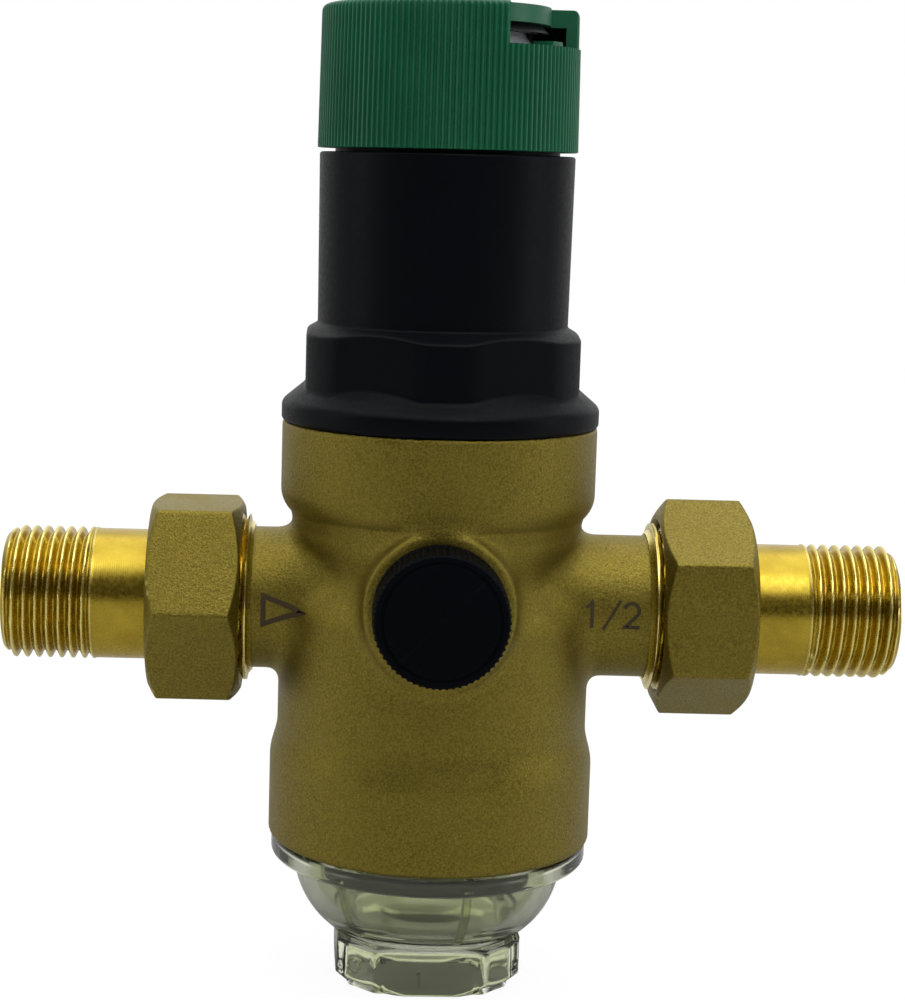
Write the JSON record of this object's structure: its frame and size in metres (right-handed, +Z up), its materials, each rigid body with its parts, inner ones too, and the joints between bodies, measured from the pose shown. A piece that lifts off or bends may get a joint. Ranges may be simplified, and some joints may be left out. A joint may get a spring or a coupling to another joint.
{
  "type": "pressure reducing valve",
  "caption": "Inline water pressure reducing valve: brass body with threaded unions, spring bonnet with ribbed adjusting knob, clear filter bowl and plugged gauge ports.",
  "frame": {"origin": "on the surface under the bowl's foot, halfway between the pipe ends and between the two gauge plugs", "axes": "+X is the direction of flow, from inlet to outlet; +Z is up, from the bowl to the knob; the front gauge plug faces -Y"},
  "size_m": [0.14, 0.0672, 0.1533],
  "materials": {
    "cast_brass": "sand-blasted casting",
    "turned_brass": "turned, lightly polished",
    "bonnet_plastic": "moulded, satin",
    "knob_plastic": "moulded, ribbed",
    "hub_plastic": "moulded",
    "dial_plastic": "printed scale",
    "clear_plastic": "clear moulding, faint green tint",
    "steel": "bright",
    "rubber": "moulded seal",
    "basket_plastic": "moulded",
    "filter_steel": "woven mesh",
    "washer_fibre": "pressed fibre"
  },
  "bodies": {
    "housing": {"body": "cast_brass", "bonnet": "bonnet_plastic", "slip_ring": "steel", "diaphragm": "rubber", "valve_insert": "turned_brass", "insert_oring": "rubber"},
    "valve_trim": {"valve_stem": "steel", "diaphragm_plate": "turned_brass", "spring_cup": "steel", "stem_top_nut": "steel", "disc_holder": "turned_brass", "valve_disc": "rubber", "stem_lower_nut": "steel"},
    "adjuster": {"spindle": "turned_brass", "retaining_ring": "steel", "knob": "knob_plastic", "knob_hub": "hub_plastic", "dial_disc": "dial_plastic", "dial_lens": "clear_plastic", "locking_screw": "steel"},
    "spring_plate": {"spring_nut": "turned_brass", "adjusting_spring": "steel"},
    "filter_insert": {"filter_basket": "basket_plastic", "filter_mesh": "filter_steel"},
    "bowl": {"filter_bowl": "clear_plastic", "bowl_oring": "rubber"},
    "inlet_tail": {"inlet_tailpiece": "turned_brass", "inlet_washer": "washer_fibre"},
    "inlet_union": {"inlet_nut": "cast_brass"},
    "outlet_tail": {"outlet_tailpiece": "turned_brass", "outlet_washer": "washer_fibre"},
    "outlet_union": {"outlet_nut": "cast_brass"},
    "front_ring": {"front_plug_oring": "rubber"},
    "front_gauge_plug": {"front_plug": "bonnet_plastic"},
    "back_ring": {"back_plug_oring": "rubber"},
    "back_gauge_plug": {"back_plug": "bonnet_plastic"}
  },
  "joints": [
    {"name": "spring_nut_slide", "type": "slide", "parent": "housing", "child": "spring_plate", "axis": [0, 0, 1], "range_m": [-0.004, 0.004], "deforming": ["adjusting_spring"]},
    {"name": "knob_turn", "type": "hinge", "parent": "housing", "child": "adjuster", "pos_m": [-0.0022, 0, 0.14], "axis": [0, 0, 1], "range_deg": [-720, 720]},
    {"name": "valve_lift", "type": "slide", "parent": "housing", "child": "valve_trim", "axis": [0, 0, 1], "range_m": [0, 0.0025], "stiffness_N_per_m": 2000, "springref_m": -0.001, "deforming": ["diaphragm"]},
    {"name": "filter_drop", "type": "slide", "parent": "housing", "child": "filter_insert", "axis": [0, 0, -1], "range_m": [0, 0.01]},
    {"name": "bowl_turn", "type": "hinge", "parent": "filter_insert", "child": "bowl", "pos_m": [-0.0022, 0, 0.02], "axis": [0, 0, -1], "range_deg": [0, 1800]},
    {"name": "inlet_tail_slide", "type": "slide", "parent": "housing", "child": "inlet_tail", "axis": [-1, 0, 0], "range_m": [0, 0.00726]},
    {"name": "inlet_nut_turn", "type": "hinge", "parent": "inlet_tail", "child": "inlet_union", "pos_m": [-0.045, 0, 0.0605], "axis": [-1, 0, 0], "range_deg": [0, 1440]},
    {"name": "outlet_tail_slide", "type": "slide", "parent": "housing", "child": "outlet_tail", "axis": [1, 0, 0], "range_m": [0, 0.00726]},
    {"name": "outlet_nut_turn", "type": "hinge", "parent": "outlet_tail", "child": "outlet_union", "pos_m": [0.045, 0, 0.0605], "axis": [1, 0, 0], "range_deg": [0, 1440]},
    {"name": "front_ring_slide", "type": "slide", "parent": "housing", "child": "front_ring", "axis": [0, -1, 0], "range_m": [0, 0.00668]},
    {"name": "front_plug_turn", "type": "hinge", "parent": "front_ring", "child": "front_gauge_plug", "pos_m": [-0.0022, -0.03, 0.0637], "axis": [0, -1, 0], "range_deg": [0, 1800]},
    {"name": "back_ring_slide", "type": "slide", "parent": "housing", "child": "back_ring", "axis": [0, 1, 0], "range_m": [0, 0.00668]},
    {"name": "back_plug_turn", "type": "hinge", "parent": "back_ring", "child": "back_gauge_plug", "pos_m": [-0.0022, 0.03, 0.0637], "axis": [0, 1, 0], "range_deg": [0, 1800]}
  ],
  "couplings": [
    {"joint": "knob_turn", "follows": "spring_nut_slide", "rad_per_m": 3141.6},
    {"joint": "bowl_turn", "follows": "filter_drop", "rad_per_m": 3141.6},
    {"joint": "inlet_nut_turn", "follows": "inlet_tail_slide", "rad_per_m": 3463.7},
    {"joint": "outlet_nut_turn", "follows": "outlet_tail_slide", "rad_per_m": 3463.7},
    {"joint": "front_plug_turn", "follows": "front_ring_slide", "rad_per_m": 4699.5},
    {"joint": "back_plug_turn", "follows": "back_ring_slide", "rad_per_m": 4699.5}
  ]
}
